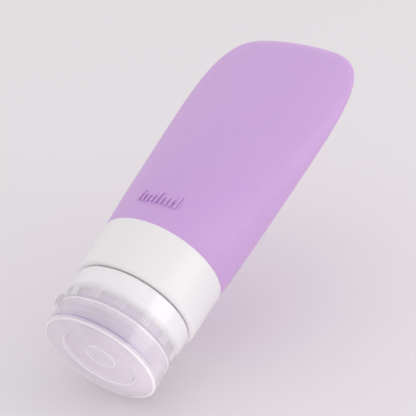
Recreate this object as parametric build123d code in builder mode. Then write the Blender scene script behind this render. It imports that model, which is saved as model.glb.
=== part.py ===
from build123d import *
import math
import os

os.makedirs("parts", exist_ok=True)

# A soft silicone travel bottle that stands on its closed flip lid.
# Z runs up the bottle's axis, X along its broad side and Y through its thin side.
# The origin is the middle of the lid's outer face.

# Lid, with its outer face at the origin
lid_radius = 20.5
parting_height = 9.0
lid_wall = 1.3
lid_plate = 1.2
lid_edge_round = 0.5
dish_radius = 12.3
dish_slope = 1.0
dish_depth = 1.0
face_ring_radius = 5.3
face_ring_width = 0.5
face_ring_height = 0.3
gate_mark_radius = 0.5
gate_mark_height = 0.2
plug_stem_radius = 1.7
plug_stem_gap = 0.7
plug_depth = 1.8
plug_clearance = 0.2
plug_tip_share = 1 / 3

# Cap base, the screw cap above the parting line
skirt_end_height = 21.5
skirt_end_radius = 20.8
skirt_edge_round = 0.4
deck_thickness = 1.4
snap_ring_wall = 1.2
snap_ring_height = 1.3
snap_clearance = 0.4
nozzle_radius = 3.0
nozzle_height = 2.6
orifice_radius = 1.25
nozzle_edge_round = 0.5
plug_ring_wall = 1.4
plug_ring_clearance = 0.3
valve_bead_height = 0.5
valve_bead_depth = 0.5
thumb_scoop_depth = 0.5
thumb_scoop_height = 2.8
thumb_scoop_arc = 25.0
rib_groups = 14
ribs_in_group = 5
rib_pitch_angle = 2.1
rib_first_azimuth = -90.0
rib_width = 0.3
rib_height = 0.22
rib_length = 4.2
rib_start_gap = 0.7

# Screw thread between the collar's neck and the cap
neck_bore_radius = 14.5
thread_root_radius = 17.0
thread_crest_radius = 18.4
thread_pitch = 4.0
thread_root_width = 1.7
thread_crest_width = 0.9
thread_crest_clearance = 0.5
thread_root_clearance = 0.6
thread_lead_in = 1.4
thread_lead_out = 0.9
thread_sink = 0.2

# Neck collar, the white ring round the bottle's shoulder
collar_gap = 0.5
collar_end_height = 40.8
collar_radius = 22.0
collar_taper = 0.2
collar_flare = 0.3
collar_foot_round = 1.2
collar_taper_height = 3.6
collar_flare_height = 13.4
collar_wall = 1.7
collar_web = 1.8
collar_rim_round = 0.3

# Silicone bottle
shoulder_step = 0.35
flare_half_width = 32.6
half_thickness = 5.6
overall_length = 145.0
crown_depth = 70.0
edge_depth = 7.4
tip_land = 0.25
silicone_wall = 2.4
sleeve_clearance = 0.1
flange_thickness = 3.7
flange_gap = 0.1
flange_clearance = 0.3
shoulder_rise = 6.0

# How the round shoulder turns into the flat end, as powers of the share of the length.
# The sides flare towards their half width, and the crown takes them in again before they reach it.
width_ease_share = 0.67
thickness_ease_share = 1.0
crown_power_share = 4.2
edge_power_share = 2.0
even_sections = 12
crown_shares = (0.96, 0.985, 1.0)
section_shares = tuple(step / even_sections for step in range(even_sections)) + crown_shares

# Drip valve, a slit silicone disc held in the plug ring
valve_clearance = 0.3
valve_seat_gap = 0.1
valve_flange_thickness = 1.2
valve_flange_width = 2.6
valve_skin = 0.7
valve_dome_height = 1.6
valve_slit_length = 7.0
valve_slit_width = 0.12

# Living hinge, a thin strap bowed out across the parting line
hinge_azimuth = -149.0
hinge_wall = 0.5
hinge_reach = 2.15
hinge_half_span = 3.3
hinge_arc = 22.0
hinge_lid_gap = 0.1

# One overrun for every cut that runs past a face
overrun = 1.0

# Cubic millimetres in a millilitre, to print what the bottle holds
cubic_mm_in_ml = 1000

# Heights and radii that follow from the sizes above
deck_underside = parting_height + deck_thickness
lid_inner_radius = lid_radius - lid_wall
snap_ring_radius = lid_inner_radius - snap_clearance
nozzle_tip = parting_height - nozzle_height
plug_radius = orifice_radius - plug_clearance
flange_face = deck_underside + flange_gap
neck_end = flange_face + flange_thickness
sleeve_radius = neck_bore_radius - sleeve_clearance
mouth_radius = sleeve_radius - silicone_wall
plug_ring_radius = mouth_radius - plug_ring_clearance
plug_ring_bore = plug_ring_radius - plug_ring_wall
cap_thread_root = thread_crest_radius + thread_root_clearance
cap_thread_crest = thread_root_radius + thread_crest_clearance
flange_radius = cap_thread_crest - flange_clearance
collar_foot = skirt_end_height + collar_gap
collar_foot_radius = collar_radius - collar_taper
collar_end_radius = collar_radius + collar_flare
thread_turns = (collar_foot - thread_lead_out - thread_lead_in - neck_end) / thread_pitch
shoulder_radius = collar_end_radius - shoulder_step
free_length = overall_length - collar_end_height
foot_ledge = collar_foot_radius - thread_root_radius
web_top = collar_foot + collar_web
collar_bore = collar_radius - collar_wall
shoulder_fit_radius = collar_bore - sleeve_clearance
cavity_radius = shoulder_fit_radius - silicone_wall
valve_face = deck_underside + valve_seat_gap
valve_radius = plug_ring_bore - valve_clearance
dome_radius = valve_radius - valve_flange_width
flange_top = valve_face + valve_flange_thickness
plug_ring_end = flange_top + valve_seat_gap + 2 * valve_bead_height
hinge_radius = lid_radius + hinge_reach
thumb_azimuth = hinge_azimuth + 180


def ring(points):
    """A turned piece: the outline, in radius and height, spun round the bottle's axis."""
    with BuildPart() as turned:
        with BuildSketch(Plane.XZ):
            with BuildLine():
                Polyline(*points, close=True)
            make_face()
        revolve(axis=Axis.Z)
    return turned.part


def radial_plane(azimuth):
    """The upright plane through the bottle's axis at this azimuth, drawn on in radius and height."""
    turn = math.radians(azimuth)
    outwards = (math.cos(turn), math.sin(turn), 0)
    return Plane(origin=(0, 0, 0), x_dir=outwards, z_dir=(outwards[1], -outwards[0], 0))


def apart(azimuth, other):
    """The angle between two azimuths, at most half a turn."""
    return abs((azimuth - other + 180) % 360 - 180)


def thread_ridge(root, crest, start):
    """One helical ridge that stands from the root radius to the crest radius, sunk a little into its wall."""
    sunk_share = thread_sink / abs(crest - root)
    foot = root - (crest - root) * sunk_share
    foot_width = thread_root_width + (thread_root_width - thread_crest_width) * sunk_share
    with BuildPart() as ridge:
        with BuildLine(Plane.XY.offset(start)):
            Helix(thread_pitch, thread_pitch * thread_turns, root)
        with BuildSketch(Plane.XZ):
            with BuildLine():
                Polyline(
                    (foot, start - foot_width / 2),
                    (crest, start - thread_crest_width / 2),
                    (crest, start + thread_crest_width / 2),
                    (foot, start + foot_width / 2),
                    close=True,
                )
            make_face()
        sweep(is_frenet=True)
    return ridge.part


def closing(depth, inset, power, height):
    """How much of its full size a section keeps as it nears the bottle's far end."""
    into = (height - (overall_length - depth)) / (depth - inset + tip_land)
    return (1 - min(max(into, 0), 1) ** power) ** (1 / power)


def bottle_section(height, inset):
    """Half width and half thickness of the silicone at a height, drawn in by the inset."""
    share = (height - collar_end_height) / free_length
    wide = shoulder_radius + (flare_half_width - shoulder_radius) * share**width_ease_share
    thick = shoulder_radius + (half_thickness - shoulder_radius) * share**thickness_ease_share
    wide = (wide - inset) * closing(crown_depth, inset, crown_power_share, height)
    thick = (thick - inset) * closing(edge_depth, inset, edge_power_share, height)
    return wide, thick


def bottle_form(inset):
    """The free part of the bottle, from the collar to the crowned end, drawn in all round by the inset."""
    with BuildPart() as form:
        for share in section_shares:
            height = collar_end_height + inset + share * (free_length - 2 * inset)
            wide, thick = bottle_section(height, inset)
            with BuildSketch(Plane.XY.offset(height)):
                Ellipse(wide, thick)
        loft()
    return form.part


# Squeeze body: flange, neck and shoulder are turned, and the free part is lofted
neck_outline = (
    (0, flange_face),
    (flange_radius, flange_face),
    (flange_radius, neck_end),
    (sleeve_radius, neck_end),
    (sleeve_radius, web_top),
    (shoulder_fit_radius, web_top),
    (shoulder_fit_radius, collar_end_height),
    (0, collar_end_height),
)
cavity_outline = (
    (0, flange_face - overrun),
    (mouth_radius, flange_face - overrun),
    (mouth_radius, web_top + silicone_wall),
    (cavity_radius, web_top + silicone_wall + shoulder_rise),
    (cavity_radius, collar_end_height + silicone_wall),
    (0, collar_end_height + silicone_wall),
)
with BuildPart() as squeeze_body:
    add(bottle_form(0))
    add(ring(neck_outline))
    add(bottle_form(silicone_wall), mode=Mode.SUBTRACT)
    add(ring(cavity_outline), mode=Mode.SUBTRACT)
squeeze_body.part.label = "squeeze_body"
export_step(squeeze_body.part, "parts/squeeze_body.step")

# Neck collar: an outer wall and a threaded neck, joined by a web at the foot
collar_outline = (
    (neck_bore_radius, neck_end),
    (thread_root_radius, neck_end),
    (thread_root_radius, collar_foot),
    (collar_foot_radius, collar_foot),
    (collar_radius, collar_foot + collar_taper_height),
    (collar_radius, collar_foot + collar_flare_height),
    (collar_end_radius, collar_end_height),
    (collar_bore, collar_end_height),
    (collar_bore, web_top),
    (neck_bore_radius, web_top),
)
neck_thread_start = neck_end + thread_lead_in
with BuildPart() as neck_collar:
    add(ring(collar_outline))
    collar_rims = neck_collar.edges().filter_by(GeomType.CIRCLE).group_by(Axis.Z)
    fillet(collar_rims[-1].sort_by(SortBy.RADIUS)[-1], collar_rim_round)
    foot_rims = neck_collar.edges().filter_by(GeomType.CIRCLE).filter_by_position(
        Axis.Z, collar_foot - collar_gap, collar_foot + collar_gap
    )
    fillet(foot_rims.sort_by(SortBy.RADIUS)[-1], min(collar_foot_round, foot_ledge / 2))
    add(thread_ridge(thread_root_radius, thread_crest_radius, neck_thread_start))
neck_collar.part.label = "neck_collar"
export_step(neck_collar.part, "parts/neck_collar.step")

# Cap base: deck, nozzle, snap ring and plug ring are turned with the skirt
cap_outline = (
    (orifice_radius, nozzle_tip),
    (nozzle_radius, nozzle_tip),
    (nozzle_radius, parting_height),
    (snap_ring_radius - snap_ring_wall, parting_height),
    (snap_ring_radius - snap_ring_wall, parting_height - snap_ring_height),
    (snap_ring_radius, parting_height - snap_ring_height),
    (snap_ring_radius, parting_height),
    (lid_radius, parting_height),
    (skirt_end_radius, skirt_end_height),
    (cap_thread_root, skirt_end_height),
    (cap_thread_root, deck_underside),
    (plug_ring_radius, deck_underside),
    (plug_ring_radius, plug_ring_end),
    (plug_ring_bore - valve_bead_depth, plug_ring_end),
    (plug_ring_bore - valve_bead_depth, plug_ring_end - valve_bead_height),
    (plug_ring_bore, plug_ring_end - 2 * valve_bead_height),
    (plug_ring_bore, deck_underside),
    (orifice_radius, deck_underside),
)
# Half a pitch from the neck's ridge, so that each runs in the other's groove
cap_thread_start = neck_thread_start - thread_pitch / 2
with BuildPart() as cap_base:
    add(ring(cap_outline))
    nozzle_edges = cap_base.edges().filter_by(GeomType.CIRCLE).group_by(Axis.Z)[0]
    fillet(nozzle_edges.sort_by(SortBy.RADIUS)[-1], nozzle_edge_round)
    skirt_edges = cap_base.edges().filter_by(GeomType.CIRCLE).group_by(Axis.Z)[-1]
    fillet(skirt_edges, skirt_edge_round)
    add(thread_ridge(cap_thread_root, cap_thread_crest, cap_thread_start))
    # Thumb scoop: a shallow pocket over the parting line, which bares the lid's rim
    with BuildSketch(radial_plane(thumb_azimuth - thumb_scoop_arc / 2)):
        with BuildLine():
            Polyline(
                (lid_radius - thumb_scoop_depth, parting_height - overrun),
                (skirt_end_radius + overrun, parting_height - overrun),
                (skirt_end_radius + overrun, parting_height + thumb_scoop_height),
                (lid_radius, parting_height + thumb_scoop_height),
                (lid_radius - thumb_scoop_depth, parting_height + thumb_scoop_height / 2),
                close=True,
            )
        make_face()
    revolve(axis=Axis.Z, revolution_arc=thumb_scoop_arc, mode=Mode.SUBTRACT)
    # Fine grip ribs, in groups round the skirt, left out behind the strap and in the scoop
    with BuildSketch(Plane.XY.offset(parting_height + rib_start_gap)):
        for group in range(rib_groups):
            azimuth = rib_first_azimuth + group * 360 / rib_groups
            beside_hinge = apart(azimuth, hinge_azimuth) > (hinge_arc + ribs_in_group * rib_pitch_angle) / 2
            beside_scoop = apart(azimuth, thumb_azimuth) > (thumb_scoop_arc + ribs_in_group * rib_pitch_angle) / 2
            if beside_hinge and beside_scoop:
                first = azimuth - (ribs_in_group - 1) * rib_pitch_angle / 2
                last = (ribs_in_group - 1) * rib_pitch_angle
                with PolarLocations(lid_radius, ribs_in_group, first, last, endpoint=True):
                    Rectangle(2 * rib_height, rib_width)
    extrude(amount=rib_length)
cap_base.part.label = "cap_base"
export_step(cap_base.part, "parts/cap_base.step")

# Flip lid: a dished plate, a side wall and the plug that shuts the orifice
plate_inside = dish_depth + lid_plate
lid_outline = (
    (0, dish_depth),
    (dish_radius, dish_depth),
    (dish_radius + dish_slope, 0),
    (lid_radius, 0),
    (lid_radius, parting_height),
    (lid_inner_radius, parting_height),
    (lid_inner_radius, lid_plate),
    (dish_radius + dish_slope + lid_plate / 2, lid_plate),
    (dish_radius + lid_plate / 2, plate_inside),
    (plug_stem_radius, plate_inside),
    (plug_stem_radius, nozzle_tip - plug_stem_gap),
    (plug_radius, nozzle_tip - plug_stem_gap),
    (plug_radius, nozzle_tip + plug_depth),
    (0, nozzle_tip + plug_depth),
)
with BuildPart() as flip_lid:
    add(ring(lid_outline))
    outer_rim = flip_lid.edges().filter_by(GeomType.CIRCLE).group_by(Axis.Z)[0].sort_by(SortBy.RADIUS)[-1]
    fillet(outer_rim, lid_edge_round)
    plug_rim = flip_lid.edges().filter_by(GeomType.CIRCLE).filter_by_position(
        Axis.Z, nozzle_tip + plug_depth - plug_clearance, nozzle_tip + plug_depth + plug_clearance
    )
    chamfer(plug_rim, plug_radius * plug_tip_share)
    # Face ring and gate mark, moulded proud of the dish floor
    with BuildSketch(Plane.XY.offset(dish_depth)):
        Circle(face_ring_radius + face_ring_width / 2)
        Circle(face_ring_radius - face_ring_width / 2, mode=Mode.SUBTRACT)
    extrude(amount=-face_ring_height)
    with BuildSketch(Plane.XY.offset(dish_depth)):
        Circle(gate_mark_radius)
    extrude(amount=-gate_mark_height)
flip_lid.part.label = "flip_lid"
export_step(flip_lid.part, "parts/flip_lid.step")

# Living hinge: a thin bowed strap, spun through a short arc
with BuildPart() as hinge_strap:
    with BuildSketch(radial_plane(hinge_azimuth - hinge_arc / 2)):
        with BuildLine():
            outer = ThreePointArc(
                (lid_radius + hinge_lid_gap, parting_height - hinge_half_span),
                (hinge_radius, parting_height),
                (lid_radius + hinge_lid_gap, parting_height + hinge_half_span),
            )
            inner = ThreePointArc(
                (lid_radius + hinge_lid_gap, parting_height + hinge_half_span - hinge_wall),
                (hinge_radius - hinge_wall, parting_height),
                (lid_radius + hinge_lid_gap, parting_height - hinge_half_span + hinge_wall),
            )
            Line(outer @ 1, inner @ 0)
            Line(inner @ 1, outer @ 0)
        make_face()
    revolve(axis=Axis.Z, revolution_arc=hinge_arc)
hinge_strap.part.label = "hinge_strap"
export_step(hinge_strap.part, "parts/hinge_strap.step")

# Drip valve: a flange that sits on the deck, and a domed skin with a cross slit
dome_ball = (dome_radius**2 + valve_dome_height**2) / (2 * valve_dome_height)
dome_centre = (0, flange_top + valve_dome_height - dome_ball)
dome_angle = math.degrees(math.asin(dome_radius / dome_ball))
with BuildPart() as drip_valve:
    with BuildSketch(Plane.XZ):
        with BuildLine():
            back = CenterArc(dome_centre, dome_ball, 90 - dome_angle, dome_angle)
            front = CenterArc(dome_centre, dome_ball - valve_skin, 90, -dome_angle)
            Line(back @ 1, front @ 0)
            Polyline(
                front @ 1,
                ((front @ 1).X, valve_face),
                (valve_radius, valve_face),
                (valve_radius, flange_top),
                back @ 0,
            )
        make_face()
    revolve(axis=Axis.Z)
    with BuildSketch(Plane.XY.offset(valve_face)):
        with PolarLocations(0, 2, angular_range=180):
            Rectangle(valve_slit_length, valve_slit_width)
    extrude(amount=valve_flange_thickness + valve_dome_height + overrun, mode=Mode.SUBTRACT)
drip_valve.part.label = "drip_valve"
export_step(drip_valve.part, "parts/drip_valve.step")

capacity = bottle_form(silicone_wall).volume + ring(cavity_outline).volume
print("capacity, ml:", round(capacity / cubic_mm_in_ml, 1))
for name in (squeeze_body, neck_collar, cap_base, flip_lid, hinge_strap, drip_valve):
    print(name.part.label, len(name.part.solids()), round(name.part.volume), name.part.is_valid)
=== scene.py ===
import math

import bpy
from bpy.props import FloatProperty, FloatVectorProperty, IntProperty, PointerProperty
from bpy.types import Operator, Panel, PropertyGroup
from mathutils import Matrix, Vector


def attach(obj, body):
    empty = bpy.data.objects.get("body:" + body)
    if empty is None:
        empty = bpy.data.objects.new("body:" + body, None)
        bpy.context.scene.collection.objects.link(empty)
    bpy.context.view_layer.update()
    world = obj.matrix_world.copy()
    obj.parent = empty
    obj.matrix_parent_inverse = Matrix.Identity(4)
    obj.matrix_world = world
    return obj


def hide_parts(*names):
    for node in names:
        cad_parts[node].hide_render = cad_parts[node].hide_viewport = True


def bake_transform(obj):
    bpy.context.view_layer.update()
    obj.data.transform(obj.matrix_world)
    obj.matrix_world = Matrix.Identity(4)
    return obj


bl_info = {
    "name": "Travel silicone bottle",
    "version": (1, 0, 0),
    "blender": (4, 5, 0),
    "location": "3D View > Sidebar > Bottle",
    "description": "Models a squeezable travel bottle with a screw cap and a flip lid",
    "category": "Add Mesh",
}

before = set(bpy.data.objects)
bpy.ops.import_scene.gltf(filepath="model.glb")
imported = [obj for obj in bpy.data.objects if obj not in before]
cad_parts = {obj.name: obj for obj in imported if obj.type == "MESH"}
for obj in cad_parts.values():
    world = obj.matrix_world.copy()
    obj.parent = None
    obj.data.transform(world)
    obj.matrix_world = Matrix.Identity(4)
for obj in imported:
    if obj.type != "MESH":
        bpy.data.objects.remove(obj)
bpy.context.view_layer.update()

# One millimetre in Blender's metres
MM = 0.001

# How near a vertex has to be to a place to count as being there
NEAR = 0.004 * MM

# Points that are closer than this are one point
DOUBLE = 0.001 * MM

# Steps in a full turn
TURN_STEPS = 144
CAP_STEPS = 504

# From one grip rib to the next, in steps of the cap
RIB_STEPS = 3

# How the silicone's sides flare, and how blunt its crown and its edge are
FLARE_POWER = 0.67
CROWN_POWER = 4.2
EDGE_POWER = 2.0

# Painted rings of lilac in the lid's wall, which stand in for the silicone's light that the wall bends: each
# a share of this height, and how strong the painted lilac is there
PAINTED_RINGS_HEIGHT = 10 * MM
PAINTED_LILAC_RINGS = (
    (0.13, 0.0), (0.18, 1.0), (0.23, 0.1), (0.27, 0.4), (0.31, 0.1), (0.37, 0.3), (0.43, 0.1), (0.55, 0.2),
    (0.75, 0.0),
)

# How far silicone and polypropylene bend light
SILICONE_IOR = 1.41
PLASTIC_IOR = 1.49


# Colours and sizes

def linear(code):
    """An sRGB hex colour as linear red, green, blue and alpha."""
    channels = [int(code[place:place + 2], 16) / 255 for place in (1, 3, 5)]
    return [c / 12.92 if c <= 0.04045 else ((c + 0.055) / 1.055) ** 2.4 for c in channels] + [1.0]


def size(name, description, millimetres):
    """A length that the user can change, given in millimetres."""
    return FloatProperty(
        name=name, description=description, default=millimetres * MM, min=0, unit="LENGTH", precision=4
    )


def degrees(name, description, value):
    """An angle that the user can change, given in degrees."""
    return FloatProperty(name=name, description=description, default=math.radians(value), subtype="ANGLE")


def factor(name, description, value):
    """A share from 0 to 1 that the user can change."""
    return FloatProperty(name=name, description=description, default=value, min=0, max=1, subtype="FACTOR")


def number(name, description, value):
    """A count that the user can change."""
    return IntProperty(name=name, description=description, default=value, min=1)


def colour(name, description, code):
    """A colour that the user can change, given as sRGB hex."""
    return FloatVectorProperty(
        name=name, description=description, default=linear(code), size=4, min=0, max=1, subtype="COLOR"
    )


class LidSettings(PropertyGroup):
    radius: size("Radius", "Outer radius of the lid", 20.5)
    parting: size("Parting height", "Height of the line between the lid and the cap", 9.0)
    wall: size("Wall", "Thickness of the lid's side", 1.3)
    plate: size("Plate", "Thickness of the lid's face", 1.2)
    edge_round: size("Edge round", "Rounding between the face and the side", 0.5)
    line: size("Dish line", "Depth of the whiter line at the dish's edge", 0.3)
    rim: size("Rim", "Width of the wall's whiter rims", 0.9)
    dish_radius: size("Dish radius", "Radius of the dish floor", 12.3)
    dish_slope: size("Dish slope", "Width of the dish's sloped side", 1.0)
    dish_depth: size("Dish depth", "How far the dish lies below the face", 1.0)
    ring_radius: size("Ring radius", "Middle radius of the ring in the dish", 5.3)
    ring_width: size("Ring width", "Width of the ring in the dish", 0.5)
    ring_height: size("Ring height", "Height of the ring in the dish", 0.3)
    gate_radius: size("Gate mark radius", "Radius of the gate's mark", 0.5)
    gate_height: size("Gate mark height", "Height of the gate's mark", 0.2)
    stem_radius: size("Plug stem radius", "Radius of the stem that carries the plug", 1.7)
    stem_gap: size("Plug stem gap", "Gap between the stem and the nozzle", 0.7)
    plug_radius: size("Plug radius", "Radius of the plug in the orifice", 1.05)
    plug_depth: size("Plug depth", "How far the plug reaches into the orifice", 1.8)
    gate_round: size("Gate mark round", "Rounding of the gate's mark", 0.1)
    ring_round: size("Ring round", "Rounding of the ring in the dish", 0.15)
    dish_round: size("Dish round", "Rounding of the dish and of the stem's root", 0.4)
    parting_round: size("Parting round", "Rounding at the parting line", 0.25)
    rim_round: size("Rim round", "Rounding in the wall's rim and at the stem's end", 0.2)
    inner_round: size("Inner round", "Rounding inside the face's edge", 0.6)
    plug_round: size("Plug round", "Rounding of the plug's end", 0.35)


class CapSettings(PropertyGroup):
    skirt_end: size("Skirt end", "Height at which the skirt ends", 21.5)
    skirt_radius: size("Skirt end radius", "Outer radius at the skirt's end", 20.8)
    deck: size("Deck", "Thickness of the deck under the nozzle", 1.4)
    snap_radius: size("Snap ring radius", "Outer radius of the ring that the lid closes over", 18.8)
    snap_wall: size("Snap ring wall", "Thickness of the snap ring", 1.2)
    snap_height: size("Snap ring height", "Height of the snap ring", 1.3)
    nozzle_radius: size("Nozzle radius", "Outer radius of the nozzle", 3.0)
    nozzle_height: size("Nozzle height", "Height of the nozzle over the parting line", 2.6)
    orifice_radius: size("Orifice radius", "Radius of the hole through the nozzle", 1.25)
    plug_ring_radius: size("Plug ring radius", "Outer radius of the ring inside the neck", 11.7)
    plug_ring_wall: size("Plug ring wall", "Thickness of the ring inside the neck", 1.4)
    plug_ring_length: size("Plug ring length", "Length of the ring inside the neck", 2.4)
    bead: size("Valve bead", "Size of the bead that holds the valve", 0.5)
    thread_root: size("Thread root", "Radius of the skirt's inner wall", 19.0)
    thread_crest: size("Thread crest", "Radius of the inner thread's crest", 17.5)
    rib_height: size("Rib height", "How far a grip rib stands out", 0.22)
    rib_length: size("Rib length", "Length of a grip rib", 4.2)
    rib_gap: size("Rib gap", "Gap between the parting line and the ribs", 0.7)
    rib_groups: number("Rib groups", "Places for a rib group round the skirt", 14)
    rib_count: number("Ribs in a group", "Ribs in one group", 5)
    scoop_depth: size("Scoop depth", "Depth of the thumb scoop", 0.5)
    scoop_height: size("Scoop height", "Height of the thumb scoop", 2.8)
    scoop_reach: degrees("Scoop reach", "Half of the thumb scoop's width", 12.5)
    nozzle_round: size("Nozzle round", "Rounding of the nozzle's tip and root", 0.5)
    snap_round: size("Snap ring round", "Rounding of the snap ring's rim", 0.3)
    skirt_round: size("Skirt round", "Rounding at the skirt's end and in the deck", 0.6)
    bore_round: size("Bore round", "Rounding inside the skirt's end", 0.4)
    fade: size("Fade", "Half the height over which the skirt turns milkier", 1.5)


class CollarSettings(PropertyGroup):
    foot: size("Foot", "Height at which the collar starts", 22.0)
    end: size("End", "Height at which the collar ends", 40.8)
    radius: size("Radius", "Outer radius of the collar", 22.0)
    taper: size("Taper", "How much narrower the collar is at its foot", 0.2)
    flare: size("Flare", "How much wider the collar is at its end", 0.3)
    taper_height: size("Taper height", "Height of the taper at the foot", 3.6)
    flare_foot: size("Flare foot", "From the foot to where the flare starts", 13.4)
    foot_round: size("Foot round", "Rounding of the collar's foot", 1.2)
    rim_round: size("Rim round", "Rounding of the collar's and the neck's end", 0.3)
    bore_round: size("Bore round", "Rounding inside the collar's end", 0.2)
    wall: size("Wall", "Thickness of the collar's wall", 1.7)
    web: size("Web", "Thickness of the web at the collar's foot", 1.8)
    neck_bore: size("Neck bore", "Radius of the bore through the neck", 14.5)
    neck_end: size("Neck end", "Height at which the neck ends", 14.2)
    thread_root: size("Thread root", "Radius of the neck's outer wall", 17.0)
    thread_crest: size("Thread crest", "Radius of the neck thread's crest", 18.4)
    thread_pitch: size("Thread pitch", "Rise of the thread in one turn", 4.0)
    thread_foot: size("Thread foot", "Width of a thread ridge at its foot", 1.7)
    thread_tip: size("Thread tip", "Width of a thread ridge at its crest", 0.9)
    thread_sink: size("Thread sink", "How far a ridge is sunk into its wall", 0.2)
    thread_lead: size("Thread lead-in", "From the neck's end to the thread's start", 1.4)
    thread_stop: size("Thread stop", "From the thread's end to the collar's foot", 0.9)


class BottleSettings(PropertyGroup):
    length: size("Overall length", "From the lid's face to the crowned end", 145.0)
    shoulder: size("Shoulder radius", "Radius of the silicone at the collar", 21.95)
    flare: size("Flare half width", "Half width that the sides flare towards", 32.6)
    half_thickness: size("Half thickness", "Half thickness at the crowned end", 5.6)
    crown_depth: size("Crown depth", "Length of the crown that takes the sides in", 70.0)
    edge_depth: size("Edge depth", "Length over which the end closes to its edge", 7.4)
    wall: size("Wall", "Thickness of the silicone", 2.4)
    fit: size("Fit radius", "Radius of the silicone inside the collar", 20.2)
    cavity: size("Cavity radius", "Radius of the cavity inside the collar", 17.8)
    mouth: size("Mouth radius", "Radius of the mouth", 12.0)
    sleeve: size("Sleeve radius", "Radius of the silicone neck", 14.4)
    flange: size("Flange radius", "Radius of the flange that seals the cap", 17.2)
    flange_face: size("Flange face", "Height of the flange's face", 10.5)
    web_top: size("Web top", "Height of the web under the shoulder", 23.8)
    rise: size("Shoulder rise", "Height of the funnel into the cavity", 6.0)


class MarkSettings(PropertyGroup):
    count: number("Bars", "Bars in the scale on the silicone", 9)
    pitch: size("Pitch", "From bar to bar", 1.75)
    width: size("Width", "Width of a bar", 0.6)
    short: size("Short bar", "Length of a short bar", 3.6)
    long: size("Long bar", "Length of the first, middle and last bar", 5.6)
    foot: size("Foot", "Height at which the bars start", 49.4)
    relief: size("Relief", "How far the bars stand out", 0.3)


class ValveSettings(PropertyGroup):
    radius: size("Radius", "Outer radius of the valve", 10.0)
    face: size("Face", "Height of the valve's face", 10.5)
    flange: size("Flange", "Thickness of the valve's flange", 1.2)
    flange_width: size("Flange width", "Width of the valve's flange", 2.6)
    skin: size("Skin", "Thickness of the domed skin", 0.7)
    dome: size("Dome height", "Height of the domed skin", 1.6)
    slit_length: size("Slit length", "Length of the two crossed slits", 7.0)
    slit_width: size("Slit width", "Width of the slits", 0.12)


class HingeSettings(PropertyGroup):
    azimuth: degrees("Azimuth", "Where the hinge is round the cap", -149)
    arc: degrees("Arc", "How far the strap goes round the cap", 22)
    wall: size("Wall", "Thickness of the strap", 0.5)
    reach: size("Reach", "How far the strap bows out from the lid", 2.15)
    half_span: size("Half span", "Half of the strap's height", 3.3)
    gap: size("Gap", "Gap between the strap's feet and the wall", 0.02)


class FinishSettings(PropertyGroup):
    silicone: colour("Silicone", "Lilac of the squeezable body", "#CAA2DA")
    silicone_warm: colour("Silicone warm", "The warmer lilac that it drifts to", "#D0AADB")
    collar: colour("Collar", "White of the moulded collar", "#EAE7E9")
    milky: colour("Milky plastic", "Tint of the cap and the hinge", "#FFFCFF")
    # The lid's faint lilac tint and its lilac rings are painted: they stand in for the silicone's light seen
    # through the lid's wall
    lid: colour("Lid", "Tint of the lid, which gathers some lilac", "#FFF7FF")
    painted_ring_lilac: colour("Lid rings", "Lilac that the lid's wall gathers in rings", "#A084C6")
    cap_veil: factor("Cap veil", "How much the cap hides", 0.33)
    thick_veil: factor("Thick veil", "How much the cap hides at its thread", 0.75)
    hinge_veil: factor("Hinge veil", "How much the strap hides", 0.42)
    lid_veil: factor("Lid veil", "How much the lid hides", 0.52)
    # Rims and ribs hide more: partly because more plastic lies there, partly as painted edge glow
    edge_glow_veil: factor("Rim veil", "How much rims and ribs hide", 0.66)
    # The lid's marks hide more as painted highlight lines
    mark_highlight_veil: factor("Mark veil", "How much the lid's marks hide", 0.58)
    valve: colour("Valve", "Tint of the valve's silicone", "#C9A0DA")
    floor: colour("Floor", "Colour of the floor", "#E7E2E5")
    backdrop: colour("Backdrop", "Colour behind the floor", "#E5E5E5")


# Modelling steps that the pieces share

def is_at(place, point):
    """Whether a vertex is at this point of an outline."""
    return (place - Vector(point)).length < NEAR


def set_mode(mode):
    """Switches the active piece to object mode or edit mode."""
    bpy.ops.object.mode_set(mode=mode)


def select_only(piece):
    """In object mode, selects this piece alone and makes it the active one."""
    bpy.ops.object.select_all(action="DESELECT")
    piece.select_set(True)
    bpy.context.view_layer.objects.active = piece


def choose(piece, kind, test):
    """In edit mode, selects only the vertices or faces whose place passes the test."""
    bpy.ops.mesh.select_mode(type=kind)
    bpy.ops.mesh.select_all(action="DESELECT")
    set_mode("OBJECT")
    if kind == "FACE":
        for face in piece.data.polygons:
            face.select = test(face.center)
    else:
        for vertex in piece.data.vertices:
            vertex.select = test(vertex.co)
    set_mode("EDIT")


def extrude(across):
    """Extrudes what is selected by this offset."""
    bpy.ops.mesh.extrude_region_move(TRANSFORM_OT_translate={"value": across})


def scale_about_axis(x, y, height=0):
    """Scales what is selected from the bottle's axis outwards."""
    bpy.ops.transform.resize(value=(x, y, 1), center_override=(0, 0, height))


def begin_piece(name):
    """Names what was just added and starts to edit it with all its vertices selected."""
    bpy.ops.object.transform_apply()
    piece = bpy.context.object
    piece.name = piece.data.name = name
    set_mode("EDIT")
    bpy.ops.mesh.select_mode(type="VERT")
    bpy.ops.mesh.select_all(action="SELECT")
    return piece


def draw_outline(name, points, closed=True):
    """Starts a piece as one vertex and extrudes it from point to point. It stays in edit mode."""
    bpy.ops.mesh.primitive_plane_add(size=MM, location=points[0])
    piece = begin_piece(name)
    bpy.ops.mesh.merge(type="CENTER")
    for start, end in zip(points, points[1:]):
        extrude(Vector(end) - Vector(start))
    if closed:
        choose(piece, "VERT", lambda place: is_at(place, points[0]) or is_at(place, points[-1]))
        bpy.ops.mesh.edge_face_add()
    return piece


def in_plane(points):
    """Points in radius and height as places in the upright XZ plane."""
    return [(radius, 0, height) for radius, height, *_ in points]


def close_surface():
    """Merges what is double and turns the faces outwards."""
    bpy.ops.mesh.select_all(action="SELECT")
    bpy.ops.mesh.remove_doubles(threshold=DOUBLE)
    bpy.ops.mesh.normals_make_consistent()


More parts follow.
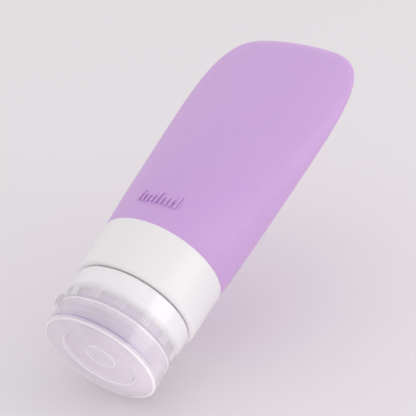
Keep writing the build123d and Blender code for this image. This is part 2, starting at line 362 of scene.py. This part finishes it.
def spin_outline(steps, angle=math.tau):
    """Spins the outline round the bottle's axis. A part of a turn runs against its sign."""
    bpy.ops.mesh.select_all(action="SELECT")
    bpy.ops.mesh.spin(steps=steps, angle=angle, center=(0, 0, 0), axis=(0, 0, 1))


def fill_ends():
    """Fills the open ends of a swept outline and closes the surface."""
    bpy.ops.mesh.select_mode(type="EDGE")
    bpy.ops.mesh.select_all(action="DESELECT")
    bpy.ops.mesh.select_non_manifold(extend=False, use_wire=False, use_multi_face=False, use_verts=False)
    bpy.ops.mesh.fill_holes(sides=0)
    close_surface()


def turn_piece(name, points, steps=TURN_STEPS, closed=True):
    """A turned piece from points in radius, height and, at some, a rounding. It stays in edit mode."""
    piece = draw_outline(name, in_plane(points), closed)
    for radius, height, *rounding in points:
        if rounding:
            choose(piece, "VERT", lambda place: is_at(place, (radius, 0, height)))
            bpy.ops.mesh.bevel(offset=rounding[0], affect="VERTICES", segments=4)
    spin_outline(steps)
    close_surface()
    return piece


def apply_modifier(piece, kind, **settings):
    """Adds a modifier with its settings and applies it."""
    select_only(piece)
    modifier = piece.modifiers.new(kind.title(), kind)
    for setting, value in settings.items():
        setattr(modifier, setting, value)
    bpy.ops.object.modifier_apply(modifier=modifier.name)


def smooth_faces(piece, angle=30):
    """Leaves edit mode and shades the piece smooth, with flat faces kept flat beside their rounds."""
    set_mode("OBJECT")
    select_only(piece)
    bpy.ops.object.shade_smooth_by_angle(angle=math.radians(angle))
    apply_modifier(piece, "WEIGHTED_NORMAL", keep_sharp=True, weight=100)


def thread_ridge(name, root, crest, start, collar):
    """A helical ridge from the root radius to the crest radius, sunk a little into its wall."""
    turns = (collar.foot - collar.thread_stop - collar.thread_lead - collar.neck_end) / collar.thread_pitch
    sink = math.copysign(collar.thread_sink, crest - root)
    foot = collar.thread_foot / 2
    tip = collar.thread_tip / 2
    outline = [
        (root - sink, start - foot),
        (root, start - foot),
        (crest, start - tip),
        (crest, start + tip),
        (root, start + foot),
        (root - sink, start + foot),
    ]
    ridge = draw_outline(name, in_plane(outline))
    set_mode("OBJECT")
    steps = round(turns * TURN_STEPS)
    apply_modifier(
        ridge, "SCREW", axis="Z", angle=turns * math.tau, screw_offset=turns * collar.thread_pitch,
        steps=steps, render_steps=steps, use_merge_vertices=False,
    )
    set_mode("EDIT")
    fill_ends()
    set_mode("OBJECT")
    return ridge


def unite(piece, other, operation="UNION"):
    """Joins the other shape to the piece, or cuts it out, and removes the other."""
    apply_modifier(piece, "BOOLEAN", object=other, operation=operation, solver="MANIFOLD")
    bpy.data.meshes.remove(other.data)
    # The Boolean adds an empty material slot
    if not piece.data.materials[-1]:
        piece.data.materials.pop()


# Materials

def add_node(tree, kind, inputs, **settings):
    """Adds a shader node with its settings. An input is a value, or the output that it is linked to."""
    node = tree.nodes.new("ShaderNode" + kind)
    for name, value in settings.items():
        setattr(node, name, value)
    for name, value in inputs.items():
        if isinstance(value, bpy.types.NodeSocket):
            tree.links.new(value, node.inputs[name])
        else:
            node.inputs[name].default_value = value
    return node


def new_material(name):
    """An empty node material, its tree and its object coordinates."""
    material = bpy.data.materials.new(name)
    material.use_nodes = True
    tree = material.node_tree
    tree.nodes.clear()
    place = add_node(tree, "TexCoord", {}).outputs["Object"]
    return material, tree, place


def per(millimetres):
    """A noise scale whose grains are about this far apart."""
    return 1 / (millimetres * MM)


def grained_skin(tree, place, grain, dull, dent, inputs):
    """Ends a material with a skin whose gloss and dents follow the mould's grain. The grain is a size in
    millimetres and a detail, dull is the roughness from and to, and dent is a strength and a depth."""
    scale = per(grain[0])
    noise = add_node(tree, "TexNoise", {"Vector": place, "Scale": scale, "Detail": grain[1]})
    height = noise.outputs["Fac"]
    sheen = add_node(tree, "MapRange", {"Value": height, "To Min": dull[0], "To Max": dull[1]})
    inputs["Roughness"] = sheen.outputs["Result"]
    if dent:
        bump = add_node(tree, "Bump", {"Height": height, "Strength": dent[0], "Distance": dent[1]})
        inputs["Normal"] = bump.outputs["Normal"]
    skin = add_node(tree, "BsdfPrincipled", inputs)
    add_node(tree, "OutputMaterial", {"Surface": skin.outputs["BSDF"]})


def silicone_material(finish):
    """Moulded silicone rubber: soft and matt, with light that goes a little way in and a fine spark grain."""
    material, tree, place = new_material("lilac_rubber")
    drift = add_node(tree, "TexNoise", {"Vector": place, "Scale": per(45), "Detail": 2.0})
    tint = add_node(
        tree, "Mix",
        {"Factor": drift.outputs["Fac"], "A": finish.silicone, "B": finish.silicone_warm}, data_type="RGBA",
    )
    skin = {
        "Base Color": tint.outputs["Result"], "IOR": SILICONE_IOR, "Subsurface Weight": 0.35,
        "Subsurface Radius": (1.0, 0.7, 1.0), "Subsurface Scale": 1.5 * MM,
    }
    # The grain of the mould is 0.1 mm or finer, drawn at 0.5 mm so that it shows
    grained_skin(tree, place, grain=(0.5, 3.0), dull=(0.40, 0.52), dent=(0.12, 0.05 * MM), inputs=skin)
    return material


def collar_material(finish):
    """Moulded polypropylene, coloured white: satin, hardly lets light in."""
    material, tree, place = new_material("white_plastic")
    skin = {
        "Base Color": finish.collar, "IOR": PLASTIC_IOR, "Subsurface Weight": 0.15,
        "Subsurface Radius": (1.0, 1.0, 1.0), "Subsurface Scale": 1.0 * MM,
    }
    grained_skin(tree, place, grain=(0.6, 2.0), dull=(0.28, 0.38), dent=(0.05, 0.04 * MM), inputs=skin)
    return material


def milky_material(name, tint, veil, clear, dull, thick=None, painted_ring_tint=None):
    """Moulded polypropylene without pigment: a milky veil, with a gloss, over what lies behind, and, if
    given, painted lilac rings of bent light.
    """
    material, tree, place = new_material(name)
    if thick or painted_ring_tint:
        height = add_node(tree, "SeparateXYZ", {"Vector": place}).outputs["Z"]
    if thick:
        # Where the wall carries the thread, more plastic lies behind its face, so it hides more
        start, end, thick_veil = thick
        veil = add_node(
            tree, "MapRange",
            {"Value": height, "From Min": start, "From Max": end, "To Min": veil, "To Max": thick_veil},
        ).outputs["Result"]
    if painted_ring_tint:
        # Painted refraction: rings of lilac stand in for the silicone's light that the wall bends, thin and
        # dark near the face, broad and faint above
        level = add_node(tree, "MapRange", {"Value": height, "From Max": PAINTED_RINGS_HEIGHT})
        rings = add_node(tree, "ValToRGB", {"Fac": level.outputs["Result"]})
        stops = rings.color_ramp.elements
        stops.remove(stops[1])
        for place_in_wall, lilac in PAINTED_LILAC_RINGS:
            stops.new(place_in_wall).color = (lilac, lilac, lilac, 1)
        # The painted rings' lilac grows and fades round the wall
        wander = add_node(tree, "TexNoise", {"Vector": place, "Scale": per(30), "Detail": 0.0})
        strength = add_node(
            tree, "MapRange", {"Value": wander.outputs["Fac"], "From Min": 0.35, "From Max": 0.6}
        )
        share = add_node(
            tree, "Math", {0: rings.outputs["Color"], 1: strength.outputs["Result"]},
            operation="MULTIPLY",
        )
        tint = add_node(
            tree, "Mix", {"Factor": share.outputs["Value"], "A": tint, "B": painted_ring_tint},
            data_type="RGBA",
        ).outputs["Result"]
    skin = {
        "Base Color": tint, "IOR": PLASTIC_IOR, "Alpha": veil, "Transmission Weight": clear,
        "Specular IOR Level": 0.75,
    }
    dull_range = (0.8 * dull, 1.2 * dull)
    grained_skin(tree, place, grain=(1.2, 3.0), dull=dull_range, dent=(0.04, 0.05 * MM), inputs=skin)
    return material


def use_whiter_glow_plastic(piece, finish, name, veil, test):
    """Whitens the faces that pass the test: more plastic lies behind them, and the whiter look is partly
    painted glow that stands in for light carried in the thick plastic. It stays in edit mode.
    """
    choose(piece, "FACE", test)
    bpy.ops.object.material_slot_add()
    whiter = milky_material(name, finish.milky, veil, clear=0.1, dull=0.1)
    piece.data.materials[piece.active_material_index] = whiter
    bpy.ops.object.material_slot_assign()


def valve_material(finish):
    """Thin moulded silicone: rubbery, half clear, with a trace of the bottle's lilac."""
    material, tree, place = new_material("clear_rubber")
    skin = {"Base Color": finish.valve, "IOR": SILICONE_IOR, "Transmission Weight": 0.3}
    grained_skin(tree, place, grain=(0.5, 2.0), dull=(0.35, 0.45), dent=None, inputs=skin)
    return material


# Pieces

def closing(depth, inset, power, height, length):
    """How much of its full size a section keeps as it nears the bottle's far end."""
    # The last section stays a narrow land, where the form would close to nothing
    land = 0.25 * MM
    into = (height - (length - depth)) / (depth - inset + land)
    return (1 - min(max(into, 0), 1) ** power) ** (1 / power)


def bottle_section(bottle, start, height, inset):
    """Height, half width and half thickness of the silicone, drawn in by the inset."""
    share = (height - start) / (bottle.length - start)
    wide = bottle.shoulder + (bottle.flare - bottle.shoulder) * share ** FLARE_POWER
    thick = bottle.shoulder + (bottle.half_thickness - bottle.shoulder) * share
    wide = (wide - inset) * closing(bottle.crown_depth, inset, CROWN_POWER, height, bottle.length)
    thick = (thick - inset) * closing(bottle.edge_depth, inset, EDGE_POWER, height, bottle.length)
    return height, wide, thick


def bottle_sections(bottle, start, inset, count):
    """Sections from the collar to the crowned end, closer together near both."""
    first = start + inset
    last = bottle.length - inset
    shares = [(1 - math.cos(math.pi * step / count)) / 2 for step in range(count + 1)]
    return [bottle_section(bottle, start, first + (last - first) * share, inset) for share in shares]


def grow_ring(old, new):
    """Extrudes the selected ring to the next height, half width and half thickness."""
    extrude((0, 0, new[0] - old[0]))
    scale_about_axis(new[1] / old[1], new[2] / old[2], new[0])


class BOTTLE_OT_squeeze_body(Operator):
    """Model the silicone body: flange, neck, shoulder and a form that flattens to a crowned end"""
    bl_idname = "travel_bottle.squeeze_body"
    bl_label = "Squeeze Body"

    def execute(self, context):
        bottle = context.scene.bottle_body
        collar = context.scene.bottle_collar
        edge = 0.3 * MM
        inner = bottle_sections(bottle, collar.end, bottle.wall, count=40)
        outer = bottle_sections(bottle, collar.end, 0, count=64)
        neck = [
            (inner[0][0], bottle.cavity),
            (bottle.web_top + bottle.wall + bottle.rise, bottle.cavity),
            (bottle.web_top + bottle.wall, bottle.mouth),
            (bottle.flange_face + edge, bottle.mouth),
            (bottle.flange_face, bottle.mouth + edge),
            (bottle.flange_face, bottle.flange - edge),
            (bottle.flange_face + edge, bottle.flange),
            (collar.neck_end - edge, bottle.flange),
            (collar.neck_end, bottle.flange - edge),
            (collar.neck_end, bottle.sleeve),
            (bottle.web_top, bottle.sleeve),
            (bottle.web_top, bottle.fit),
            (collar.end, bottle.fit),
            (collar.end, bottle.shoulder - edge),
        ]
        # The shoulder starts with a small round over the collar's rim
        outer[0] = (collar.end + edge, *outer[1][1:])
        rings = inner[::-1] + [(height, radius, radius) for height, radius in neck] + outer[1:]
        height, wide, thick = rings[0]
        bpy.ops.mesh.primitive_circle_add(vertices=TURN_STEPS, radius=wide, location=(0, 0, height))
        piece = begin_piece("silicone_body")
        scale_about_axis(1, thick / wide, height)
        for old, new in zip(rings, rings[1:]):
            grow_ring(old, new)
        # Both ends close to a line along their width
        for height, wide, thick in (rings[-1], rings[0]):
            choose(piece, "VERT", lambda place: abs(place.z - height) < NEAR)
            extrude((0, 0, 0))
            scale_about_axis((wide - thick) / wide, 0, height)
        close_surface()
        smooth_faces(piece, angle=40)
        piece.data.materials.append(silicone_material(context.scene.bottle_finish))
        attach(piece, "bottle")
        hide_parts("squeeze_body")
        return {"FINISHED"}


class BOTTLE_OT_scale_marks(Operator):
    """Model a plain scale of raised bars on the silicone, above the collar"""
    bl_idname = "travel_bottle.scale_marks"
    bl_label = "Scale Marks"

    def execute(self, context):
        marks = context.scene.bottle_marks
        body = bpy.data.objects["silicone_body"]
        before = -2 * context.scene.bottle_body.shoulder
        steps = 6
        edge_share = 0.6
        piece = None
        for place_in_row in range(marks.count):
            middle = (place_in_row - (marks.count - 1) / 2) * marks.pitch
            is_long = place_in_row in (0, marks.count // 2, marks.count - 1)
            rise = (marks.long if is_long else marks.short) / steps
            foot = [(middle + side * marks.width / 2, before, marks.foot) for side in (-1, 1)]
            bar = draw_outline("scale_marks", foot, closed=False)
            for step in range(steps):
                choose(bar, "VERT", lambda place: abs(place.z - marks.foot - step * rise) < NEAR)
                extrude((0, 0, rise))
            set_mode("OBJECT")
            if piece:
                piece.select_set(True)
                bpy.context.view_layer.objects.active = piece
                bpy.ops.object.join()
            piece = piece or bar
        # The flat bars are laid on the silicone, thickened and rounded
        apply_modifier(
            piece, "SHRINKWRAP", target=body, wrap_method="PROJECT", wrap_mode="ABOVE_SURFACE",
            use_project_y=True, use_positive_direction=True, offset=marks.relief,
        )
        apply_modifier(piece, "SOLIDIFY", thickness=2 * marks.relief, offset=1)
        apply_modifier(piece, "BEVEL", width=edge_share * marks.relief, segments=3, limit_method="ANGLE")
        set_mode("EDIT")
        close_surface()
        smooth_faces(piece)
        piece.data.materials.clear()
        piece.data.materials.append(bpy.data.materials["lilac_rubber"])
        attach(piece, "bottle")
        return {"FINISHED"}


class BOTTLE_OT_neck_collar(Operator):
    """Model the collar: the white ring round the shoulder and its threaded neck"""
    bl_idname = "travel_bottle.neck_collar"
    bl_label = "Neck Collar"

    def execute(self, context):
        collar = context.scene.bottle_collar
        web_top = collar.foot + collar.web
        bore = collar.radius - collar.wall
        outline = [
            (collar.neck_bore, collar.neck_end),
            (collar.thread_root, collar.neck_end, collar.rim_round),
            (collar.thread_root, collar.foot),
            (collar.radius - collar.taper, collar.foot, collar.foot_round),
            (collar.radius, collar.foot + collar.taper_height),
            (collar.radius, collar.foot + collar.flare_foot),
            (collar.radius + collar.flare, collar.end, collar.rim_round),
            (bore, collar.end, collar.bore_round),
            (bore, web_top),
            (collar.neck_bore, web_top),
        ]
        piece = turn_piece("collar", outline)
        piece.data.materials.append(collar_material(context.scene.bottle_finish))
        set_mode("OBJECT")
        thread_start = collar.neck_end + collar.thread_lead
        ridge = thread_ridge("neck_thread", collar.thread_root, collar.thread_crest, thread_start, collar)
        unite(piece, ridge)
        smooth_faces(piece)
        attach(piece, "bottle")
        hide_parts("neck_collar")
        return {"FINISHED"}


class BOTTLE_OT_drip_valve(Operator):
    """Model the drip valve: a flanged, domed skin with a cross slit"""
    bl_idname = "travel_bottle.drip_valve"
    bl_label = "Drip Valve"

    def execute(self, context):
        valve = context.scene.bottle_valve
        flange_top = valve.face + valve.flange
        dome_radius = valve.radius - valve.flange_width
        ball = (dome_radius**2 + valve.dome**2) / (2 * valve.dome)
        centre = flange_top + valve.dome - ball
        widest = math.asin(dome_radius / ball)
        steps = 14
        angles = [widest * step / steps for step in range(steps + 1)]

        def dome(radius):
            """The skin's dome at this radius, from the axis outwards."""
            return [(radius * math.sin(angle), centre + radius * math.cos(angle)) for angle in angles]

        back = dome(ball)
        front = dome(ball - valve.skin)[::-1]
        rim = [(valve.radius, flange_top), (valve.radius, valve.face), (front[0][0], valve.face)]
        piece = turn_piece("valve", back + rim + front, closed=False)
        piece.data.materials.append(valve_material(context.scene.bottle_finish))
        set_mode("OBJECT")
        for along, across in ((valve.slit_length, valve.slit_width), (valve.slit_width, valve.slit_length)):
            bpy.ops.mesh.primitive_cube_add(size=1, location=(0, 0, flange_top + valve.dome / 2))
            slit = bpy.context.object
            slit.scale = (along, across, 3 * valve.dome)
            bpy.ops.object.transform_apply()
            unite(piece, slit, "DIFFERENCE")
        smooth_faces(piece)
        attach(piece, "valve")
        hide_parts("drip_valve")
        return {"FINISHED"}


def apart(angle, other):
    """The angle between two directions, at most half a turn."""
    return abs((angle - other + math.pi) % math.tau - math.pi)


def azimuth_of(place):
    """The direction of a place from the bottle's axis."""
    return math.atan2(place.y, place.x)


def reach_of(place):
    """How far a place is from the bottle's axis."""
    return math.hypot(place.x, place.y)


class BOTTLE_OT_cap_base(Operator):
    """Model the screw cap: skirt, deck, nozzle, rings, thread, grip ribs and thumb scoop"""
    bl_idname = "travel_bottle.cap_base"
    bl_label = "Cap Base"

    def execute(self, context):
        cap = context.scene.bottle_cap
        collar = context.scene.bottle_collar
        lid = context.scene.bottle_lid
        hinge = context.scene.bottle_hinge
        finish = context.scene.bottle_finish
        parting = lid.parting
        underside = parting + cap.deck
        nozzle_tip = parting - cap.nozzle_height
        snap_bore = cap.snap_radius - cap.snap_wall
        snap_tip = parting - cap.snap_height
        ring_bore = cap.plug_ring_radius - cap.plug_ring_wall
        bead_bore = ring_bore - cap.bead
        ring_end = underside + cap.plug_ring_length
        scoop_middle = parting + cap.scoop_height / 2
        scoop_top = parting + cap.scoop_height
        rib_start = parting + cap.rib_gap
        rib_end = rib_start + cap.rib_length

        def skirt(height):
            """The skirt's outer radius at this height."""
            share = (height - parting) / (cap.skirt_end - parting)
            return lid.radius + (cap.skirt_radius - lid.radius) * share

        outline = [
            (cap.orifice_radius, nozzle_tip),
            (cap.nozzle_radius, nozzle_tip, cap.nozzle_round),
            (cap.nozzle_radius, parting, cap.nozzle_round),
            (snap_bore, parting),
            (snap_bore, snap_tip, cap.snap_round),
            (cap.snap_radius, snap_tip, cap.snap_round),
            (cap.snap_radius, parting),
            (lid.radius, parting, lid.parting_round),
            *[(skirt(height), height) for height in (rib_start, scoop_middle, scoop_top, rib_end)],
            (cap.skirt_radius, cap.skirt_end, cap.skirt_round),
            (cap.thread_root, cap.skirt_end, cap.bore_round),
            (cap.thread_root, underside, cap.skirt_round),
            (cap.plug_ring_radius, underside),
            (cap.plug_ring_radius, ring_end),
            (bead_bore, ring_end),
            (bead_bore, ring_end - cap.bead),
            (ring_bore, ring_end - 2 * cap.bead),
            (ring_bore, underside),
            (cap.orifice_radius, underside),
        ]
        piece = turn_piece("cap", outline, steps=CAP_STEPS)
        scoop_azimuth = hinge.azimuth + math.pi
        inside_wall = cap.thread_root + 0.5 * MM

        def on_skirt(place):
            """Whether a place is on the skirt's outer wall."""
            return reach_of(place) > inside_wall

        def in_scoop(place):
            return apart(azimuth_of(place), scoop_azimuth) < cap.scoop_reach

        # Grip ribs: some strips of faces are extruded outwards
        group_angle = math.tau / cap.rib_groups
        strip = math.tau / CAP_STEPS
        rib_pitch = RIB_STEPS * strip
        group_span = rib_pitch * (cap.rib_count - 1)
        group_reach = group_span / 2 + strip
        ribbed = []
        for group in range(cap.rib_groups):
            azimuth = group * group_angle - math.pi / 2
            beside_hinge = apart(azimuth, hinge.azimuth) > hinge.arc / 2 + group_reach
            beside_scoop = apart(azimuth, scoop_azimuth) > cap.scoop_reach + group_reach
            if beside_hinge and beside_scoop:
                # A rib is one strip of faces, whose middle is half a strip from the steps
                first = azimuth + (strip - group_span) / 2
                ribbed += [first + rib * rib_pitch for rib in range(cap.rib_count)]

        def on_rib(place):
            angle = azimuth_of(place)
            between = rib_start < place.z < rib_end
            return between and on_skirt(place) and min(apart(angle, rib) for rib in ribbed) < strip / 2

        choose(piece, "FACE", on_rib)
        extrude((0, 0, 0))
        out = 1 + cap.rib_height / lid.radius
        scale_about_axis(out, out)

        # Thumb scoop: the skirt's lower edge is drawn in
        choose(
            piece, "VERT",
            lambda place: on_skirt(place) and in_scoop(place) and parting - NEAR < place.z < scoop_top - NEAR,
        )
        drawn_in = 1 - cap.scoop_depth / lid.radius
        scale_about_axis(drawn_in, drawn_in)
        close_surface()
        thick = (rib_end - cap.fade, rib_end + cap.fade, finish.thick_veil)
        piece.data.materials.append(
            milky_material("cap_plastic", finish.milky, finish.cap_veil, clear=0.0, dull=0.2, thick=thick)
        )

        def stands_out(place):
            return rib_start < place.z < rib_end and reach_of(place) > skirt(place.z) + NEAR

        # Ribs get whiter plastic: more plastic stands there, with painted edge glow on top
        use_whiter_glow_plastic(piece, finish, "edge_glow_plastic", finish.edge_glow_veil, stands_out)
        set_mode("OBJECT")
        # Half a pitch from the neck's ridge, so that each runs in the other's groove
        thread_start = collar.neck_end + collar.thread_lead - collar.thread_pitch / 2
        ridge = thread_ridge("cap_thread", cap.thread_root, cap.thread_crest, thread_start, collar)
        unite(piece, ridge)
        smooth_faces(piece)
        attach(piece, "cap")
        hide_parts("cap_base")
        return {"FINISHED"}


class BOTTLE_OT_hinge_strap(Operator):
    """Model the living hinge: a thin strap bowed out over the parting line"""
    bl_idname = "travel_bottle.hinge_strap"
    bl_label = "Hinge Strap"

    def execute(self, context):
        hinge = context.scene.bottle_hinge
        lid = context.scene.bottle_lid
        finish = context.scene.bottle_finish
        foot = lid.radius + hinge.gap
        steps = 16

        def bow(reach, half_span):
            """Points on the arc through both feet and the bow's outermost point, in radius and height."""
            ball = (half_span**2 + reach**2) / (2 * reach)
            widest = math.asin(half_span / ball)
            angles = [widest * (2 * step / steps - 1) for step in range(steps + 1)]
            return [
                (foot + reach - ball + ball * math.cos(angle), lid.parting + ball * math.sin(angle))
                for angle in angles
            ]

        outer = bow(hinge.reach, hinge.half_span)
        inner = bow(hinge.reach - hinge.wall, hinge.half_span - hinge.wall)
        first = hinge.azimuth - hinge.arc / 2
        outline = [
            (radius * math.cos(first), radius * math.sin(first), height)
            for radius, height in outer + inner[::-1]
        ]
        piece = draw_outline("hinge_strap_skin", outline)
        spin_outline(steps=20, angle=-hinge.arc)
        fill_ends()
        smooth_faces(piece, angle=40)
        piece.data.materials.append(
            milky_material("hinge_plastic", finish.milky, finish.hinge_veil, clear=0.0, dull=0.12)
        )
        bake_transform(piece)
        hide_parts("hinge_strap")
        return {"FINISHED"}


class BOTTLE_OT_flip_lid(Operator):
    """Model the flip lid: dished face, ring, gate mark, side wall and plug"""
    bl_idname = "travel_bottle.flip_lid"
    bl_label = "Flip Lid"

    def execute(self, context):
        lid = context.scene.bottle_lid
        cap = context.scene.bottle_cap
        finish = context.scene.bottle_finish
        inner_radius = lid.radius - lid.wall
        rim_bore = lid.radius - lid.rim
        rim_foot = lid.parting - lid.rim
        dish = lid.dish_depth
        plate_inside = dish + lid.plate
        gate_face = dish - lid.gate_height
        ring_face = dish - lid.ring_height
        ring_inside = lid.ring_radius - lid.ring_width / 2
        ring_outside = lid.ring_radius + lid.ring_width / 2
        dish_edge = lid.dish_radius + lid.dish_slope
        nozzle_tip = lid.parting - cap.nozzle_height
        stem_end = nozzle_tip - lid.stem_gap
        plug_end = nozzle_tip + lid.plug_depth
        outline = [
            (0, gate_face),
            (lid.gate_radius, gate_face, lid.gate_round),
            (lid.gate_radius, dish),
            (ring_inside, dish),
            (ring_inside, ring_face, lid.ring_round),
            (ring_outside, ring_face, lid.ring_round),
            (ring_outside, dish),
            (lid.dish_radius, dish, lid.dish_round),
            (dish_edge, 0, lid.dish_round),
            (rim_bore, 0),
            (lid.radius, 0, lid.edge_round),
            (lid.radius, rim_foot),
            (lid.radius, lid.parting, lid.parting_round),
            (inner_radius, lid.parting, lid.rim_round),
            (inner_radius, lid.plate, lid.inner_round),
            (dish_edge + lid.plate / 2, lid.plate),
            (lid.dish_radius + lid.plate / 2, plate_inside, lid.dish_round),
            (lid.stem_radius, plate_inside, lid.dish_round),
            (lid.stem_radius, stem_end, lid.rim_round),
            (lid.plug_radius, stem_end),
            (lid.plug_radius, plug_end, lid.plug_round),
            (0, plug_end),
        ]
        piece = turn_piece("lid", outline, closed=False)

        def on_rim(place):
            """Whether a face is on one of the wall's two rims, which get a painted edge glow."""
            on_wall = reach_of(place) > rim_bore
            return on_wall and (place.z < lid.edge_round or place.z > rim_foot)

        def on_mark(place):
            """Whether a face is on the ring, the gate mark or the dish's edge, which get painted highlight
            lines.
            """
            reach = reach_of(place)
            on_ring = reach < lid.ring_radius + lid.ring_width and place.z < dish - NEAR
            on_dish_edge = lid.dish_radius < reach < rim_bore and NEAR < place.z < lid.line
            return on_ring or on_dish_edge

        # The lid's material carries the painted lilac rings of bent light
        piece.data.materials.append(
            milky_material(
                "lid_plastic", finish.lid, finish.lid_veil, clear=0.3, dull=0.05, painted_ring_tint=finish.painted_ring_lilac
            )
        )
        # The wall's rims get whiter plastic as painted edge glow
        use_whiter_glow_plastic(piece, finish, "edge_glow_plastic", finish.edge_glow_veil, on_rim)
        # The ring, gate mark and dish edge get whiter plastic as painted highlight lines
        use_whiter_glow_plastic(piece, finish, "mark_highlight_plastic", finish.mark_highlight_veil, on_mark)
        smooth_faces(piece)
        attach(piece, "lid")
        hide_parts("flip_lid")
        return {"FINISHED"}


class BOTTLE_OT_stage(Operator):
    """Set up the floor, the backdrop, the soft light and the camera"""
    bl_idname = "travel_bottle.stage"
    bl_label = "Stage"

    def execute(self, context):
        scene = context.scene
        finish = scene.bottle_finish
        # The bottle leans on its lid, so the floor lies at this slant to it, low enough for the unscrewed cap
        upwards = Vector((0.0895, -0.9147, 0.3942)).normalized()
        floor_drop = 21.8 * MM
        bpy.ops.mesh.primitive_plane_add(
            size=6, location=-floor_drop * upwards, rotation=upwards.to_track_quat("Z", "Y").to_euler()
        )
        floor = bpy.context.object
        floor.name = "floor"
        material, tree, _ = new_material("pale_floor")
        # Seen from below, the floor lets the view through
        below = add_node(tree, "NewGeometry", {}).outputs["Backfacing"]
        paper = add_node(tree, "BsdfDiffuse", {"Color": finish.floor})
        clear = add_node(tree, "BsdfTransparent", {})
        shown = add_node(
            tree, "MixShader", {"Fac": below, 1: paper.outputs["BSDF"], 2: clear.outputs["BSDF"]}
        )
        add_node(tree, "OutputMaterial", {"Surface": shown.outputs["Shader"]})
        floor.data.materials.append(material)

        world = bpy.data.worlds.new("pale_room")
        world.use_nodes = True
        tree = world.node_tree
        tree.nodes.clear()
        ray = add_node(tree, "LightPath", {}).outputs["Is Camera Ray"]
        room = add_node(tree, "Background", {"Color": linear("#FFFFFF"), "Strength": 0.93})
        seen = add_node(tree, "Background", {"Color": finish.backdrop, "Strength": 1.0})
        light = add_node(
            tree, "MixShader",
            {"Fac": ray, 1: room.outputs["Background"], 2: seen.outputs["Background"]},
        )
        add_node(tree, "OutputWorld", {"Surface": light.outputs["Shader"]})
        scene.world = world

        def add_lamp(kind, name, target, towards, distance, energy):
            """A lamp that faces the target from this direction."""
            towards = Vector(towards).normalized()
            bpy.ops.object.light_add(type=kind, location=Vector(target) + distance * towards)
            lamp = bpy.context.object
            lamp.name = lamp.data.name = name
            lamp.rotation_euler = towards.to_track_quat("Z", "Y").to_euler()
            lamp.data.energy = energy
            return lamp

        # One large softbox beside the bottle, a little up and towards the camera
        softbox = add_lamp(
            "AREA", "softbox", target=(0, 0, 60 * MM), towards=(0.910, -0.121, 0.395), distance=0.7,
            energy=0.8,
        )
        softbox.data.shape = "RECTANGLE"
        softbox.data.size = 0.5
        softbox.data.size_y = 0.22
        # A small soft spot below the lid and off its axis brightens the lid's face
        spot = add_lamp(
            "SPOT", "lid_spot", target=(12 * MM, 0, 0), towards=(0.52, -0.12, -0.84), distance=65 * MM,
            energy=0.08,
        )
        spot.data.spot_size = math.radians(45)
        spot.data.spot_blend = 1.0
        spot.data.shadow_soft_size = 8 * MM
        spot.visible_glossy = spot.visible_transmission = False

        view = bpy.data.cameras.new("camera")
        view.lens = 128.73
        view.sensor_width = 36
        view.clip_start = 0.01
        camera = bpy.data.objects.new("camera", view)
        scene.collection.objects.link(camera)
        camera.location = (264.489 * MM, -355.397 * MM, -178.028 * MM)
        camera.rotation_euler = [math.radians(angle) for angle in (123.418, -28.2482, 18.9097)]
        scene.camera = camera
        scene.view_settings.view_transform = "Standard"
        return {"FINISHED"}


class BOTTLE_PT_sidebar(Panel):
    bl_label = "Travel Bottle"
    bl_idname = "BOTTLE_PT_sidebar"
    bl_space_type = "VIEW_3D"
    bl_region_type = "UI"
    bl_category = "Bottle"

    def draw(self, context):
        for operator in OPERATORS:
            self.layout.operator(operator.bl_idname)
        for name in SETTINGS:
            box = self.layout.box()
            group = getattr(context.scene, name)
            for prop in group.bl_rna.properties.keys()[2:]:
                box.prop(group, prop)


SETTINGS = {
    "bottle_lid": LidSettings,
    "bottle_cap": CapSettings,
    "bottle_collar": CollarSettings,
    "bottle_body": BottleSettings,
    "bottle_marks": MarkSettings,
    "bottle_valve": ValveSettings,
    "bottle_hinge": HingeSettings,
    "bottle_finish": FinishSettings,
}
OPERATORS = (
    BOTTLE_OT_squeeze_body,
    BOTTLE_OT_scale_marks,
    BOTTLE_OT_neck_collar,
    BOTTLE_OT_drip_valve,
    BOTTLE_OT_cap_base,
    BOTTLE_OT_hinge_strap,
    BOTTLE_OT_flip_lid,
    BOTTLE_OT_stage,
)


def register():
    for cls in (*SETTINGS.values(), *OPERATORS, BOTTLE_PT_sidebar):
        bpy.utils.register_class(cls)
    for name, cls in SETTINGS.items():
        setattr(bpy.types.Scene, name, PointerProperty(type=cls))


def unregister():
    for name in SETTINGS:
        delattr(bpy.types.Scene, name)
    for cls in (BOTTLE_PT_sidebar, *reversed(OPERATORS), *reversed(SETTINGS.values())):
        bpy.utils.unregister_class(cls)


def main():
    register()
    bpy.ops.travel_bottle.squeeze_body()
    bpy.ops.travel_bottle.scale_marks()
    bpy.ops.travel_bottle.neck_collar()
    bpy.ops.travel_bottle.drip_valve()
    bpy.ops.travel_bottle.cap_base()
    bpy.ops.travel_bottle.hinge_strap()
    bpy.ops.travel_bottle.flip_lid()
    bpy.ops.travel_bottle.stage()


if __name__ == "__main__":
    main()
